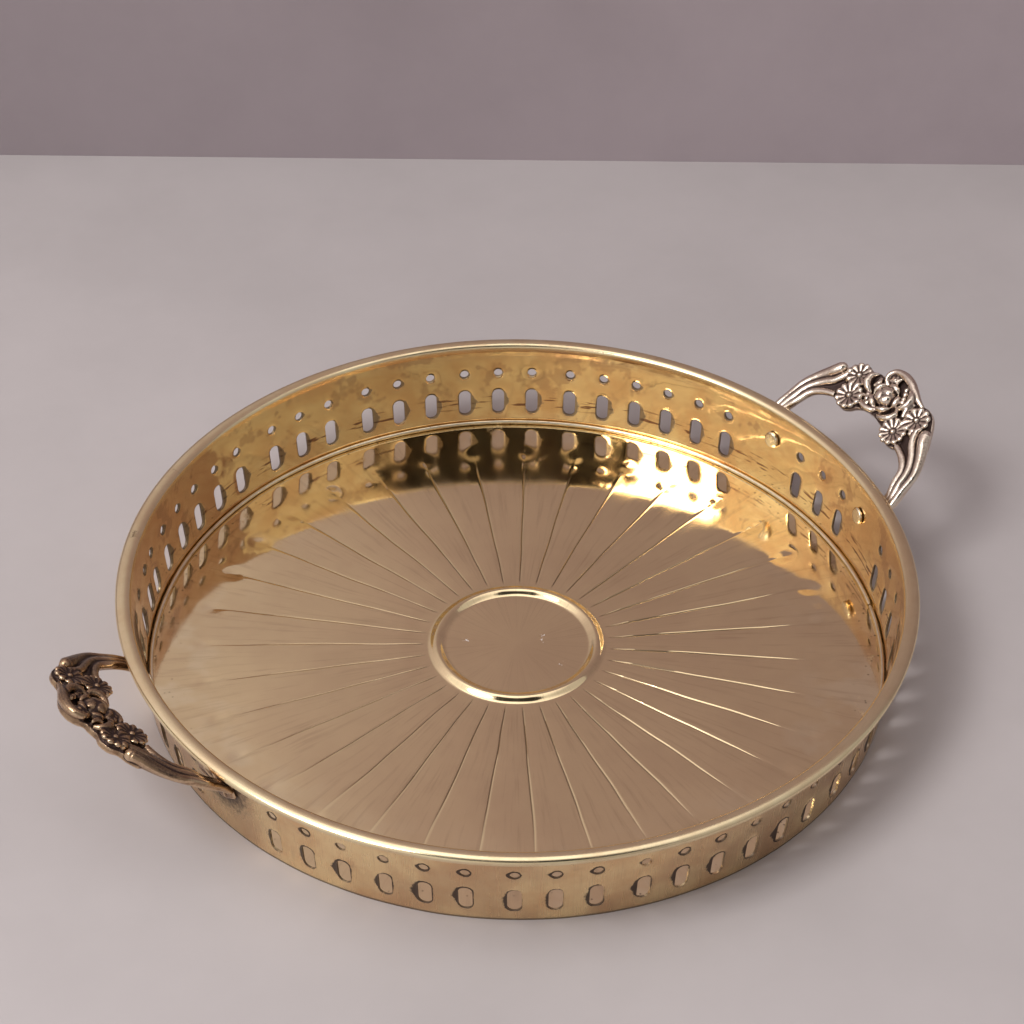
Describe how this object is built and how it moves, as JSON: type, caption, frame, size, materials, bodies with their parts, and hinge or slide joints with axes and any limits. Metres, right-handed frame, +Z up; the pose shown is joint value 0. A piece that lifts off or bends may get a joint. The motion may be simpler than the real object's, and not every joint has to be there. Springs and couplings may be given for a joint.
{
  "type": "gallery tray",
  "caption": "Round brass serving tray with a fluted floor, a pierced low wall with a rolled rim, and cast flower handles riveted to the outside.",
  "frame": {"origin": "centre of the underside, on the surface the tray stands on", "axes": "+Z up along the tray's axis; the two handles stand out along +X and -X"},
  "size_m": [0.4066, 0.33, 0.0645],
  "materials": {
    "floor_brass": "polished, thin film of tarnish",
    "wall_brass": "polished",
    "cast_brass": "antiqued, dark in the hollows and rubbed bright on the high points"
  },
  "bodies": {
    "root": {"floor_pan": "floor_brass", "gallery_band": "wall_brass", "rim_wire": "wall_brass", "seam_ring": "wall_brass", "handle_right": "cast_brass", "handle_left": "cast_brass", "rivet_right_front": "wall_brass", "rivet_right_back": "wall_brass", "rivet_left_back": "wall_brass", "rivet_left_front": "wall_brass"}
  },
  "joints": []
}
